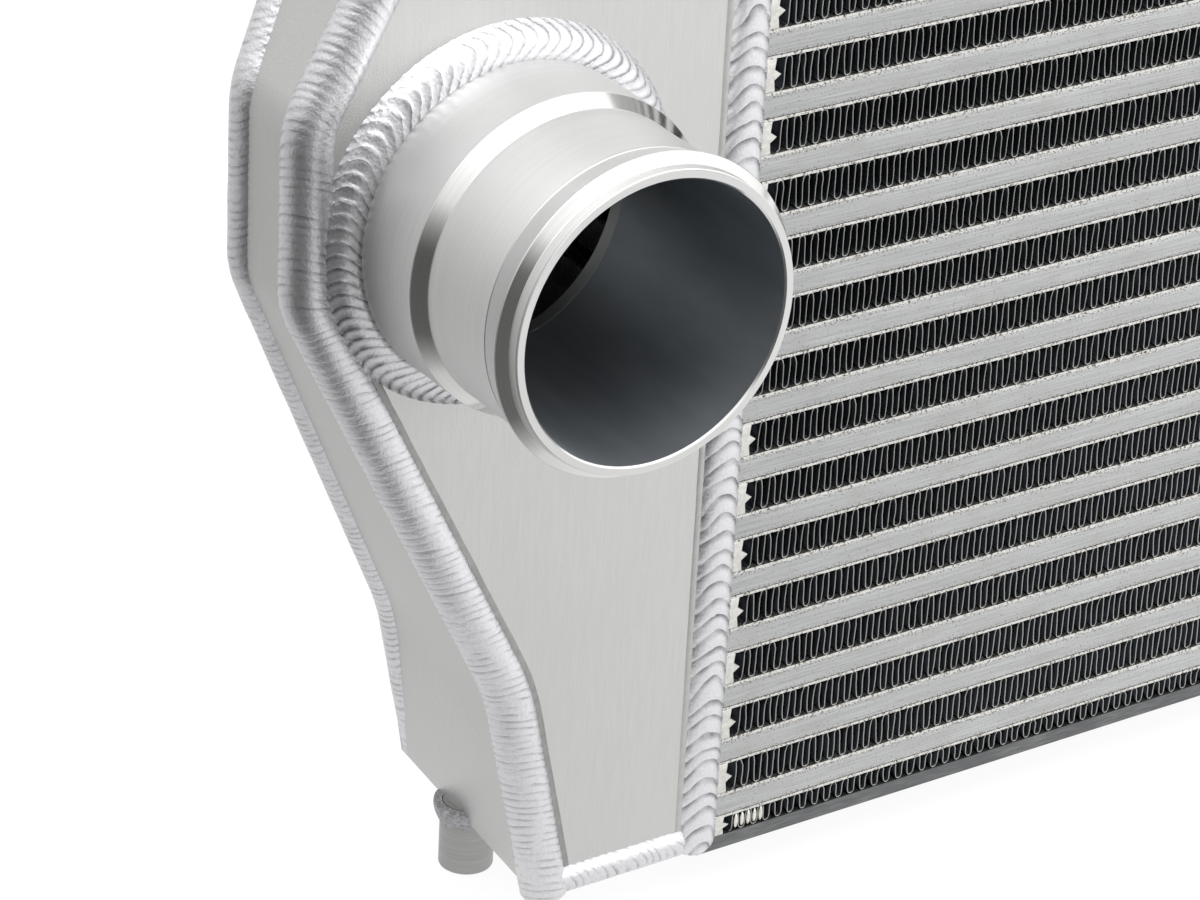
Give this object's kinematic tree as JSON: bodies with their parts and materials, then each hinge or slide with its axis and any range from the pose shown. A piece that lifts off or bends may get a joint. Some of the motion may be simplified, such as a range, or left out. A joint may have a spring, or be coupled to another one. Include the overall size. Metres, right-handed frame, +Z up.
{
  "type": "intercooler",
  "caption": "Bar and plate charge air cooler with a finned core, a welded tank at each end, hose spigots on the front and locating pins below.",
  "frame": {"origin": "centre of the core's bottom face, on the underside of the bottom side plate", "axes": "+X across the core from the left tank to the right tank as seen from the front, +Y from the front face with the hose spigots to the back face, +Z up"},
  "size_m": [0.9286, 0.163, 0.4455],
  "materials": {
    "side_plate": "brushed, dark",
    "bar": "satin, drawn",
    "sheet": "brazed edge",
    "closing_bar": "satin, drawn",
    "air_fin": "mill",
    "turbulator": "mill",
    "tank_plate": "mill, fine vertical grain",
    "spigot": "turned",
    "weld": "rippled weld bead",
    "pin": "turned"
  },
  "bodies": {
    "root": {"side_plate_bottom": "side_plate", "side_plate_top": "side_plate", "long_bars_front": "bar", "long_bars_back": "bar", "parting_sheets": "sheet", "closing_bars_left": "closing_bar", "closing_bars_right": "closing_bar", "air_fins_lower": "air_fin", "air_fins_middle": "air_fin", "air_fins_upper": "air_fin", "half_fins_bottom": "air_fin", "half_fins_top": "air_fin", "turbulators": "turbulator", "left_front_plate": "tank_plate", "left_back_plate": "tank_plate", "left_floor_plate": "tank_plate", "left_roof_plate": "tank_plate", "left_end_wall": "tank_plate", "left_spigot": "spigot", "left_spigot_weld": "weld", "left_front_end_weld": "weld", "left_back_end_weld": "weld", "left_floor_weld_front": "weld", "left_floor_weld_back": "weld", "left_roof_weld_front": "weld", "left_roof_weld_back": "weld", "left_joint_weld_front": "weld", "left_joint_weld_back": "weld", "left_joint_weld_floor": "weld", "left_joint_weld_roof": "weld", "left_lower_pin": "pin", "left_pin_weld": "weld", "right_front_plate": "tank_plate", "right_back_plate": "tank_plate", "right_floor_plate": "tank_plate", "right_roof_plate": "tank_plate", "right_end_wall": "tank_plate", "right_spigot": "spigot", "right_spigot_weld": "weld", "right_front_end_weld": "weld", "right_back_end_weld": "weld", "right_floor_weld_front": "weld", "right_floor_weld_back": "weld", "right_roof_weld_front": "weld", "right_roof_weld_back": "weld", "right_joint_weld_front": "weld", "right_joint_weld_back": "weld", "right_joint_weld_floor": "weld", "right_joint_weld_roof": "weld", "right_lower_pin": "pin", "right_pin_weld": "weld"}
  },
  "joints": []
}
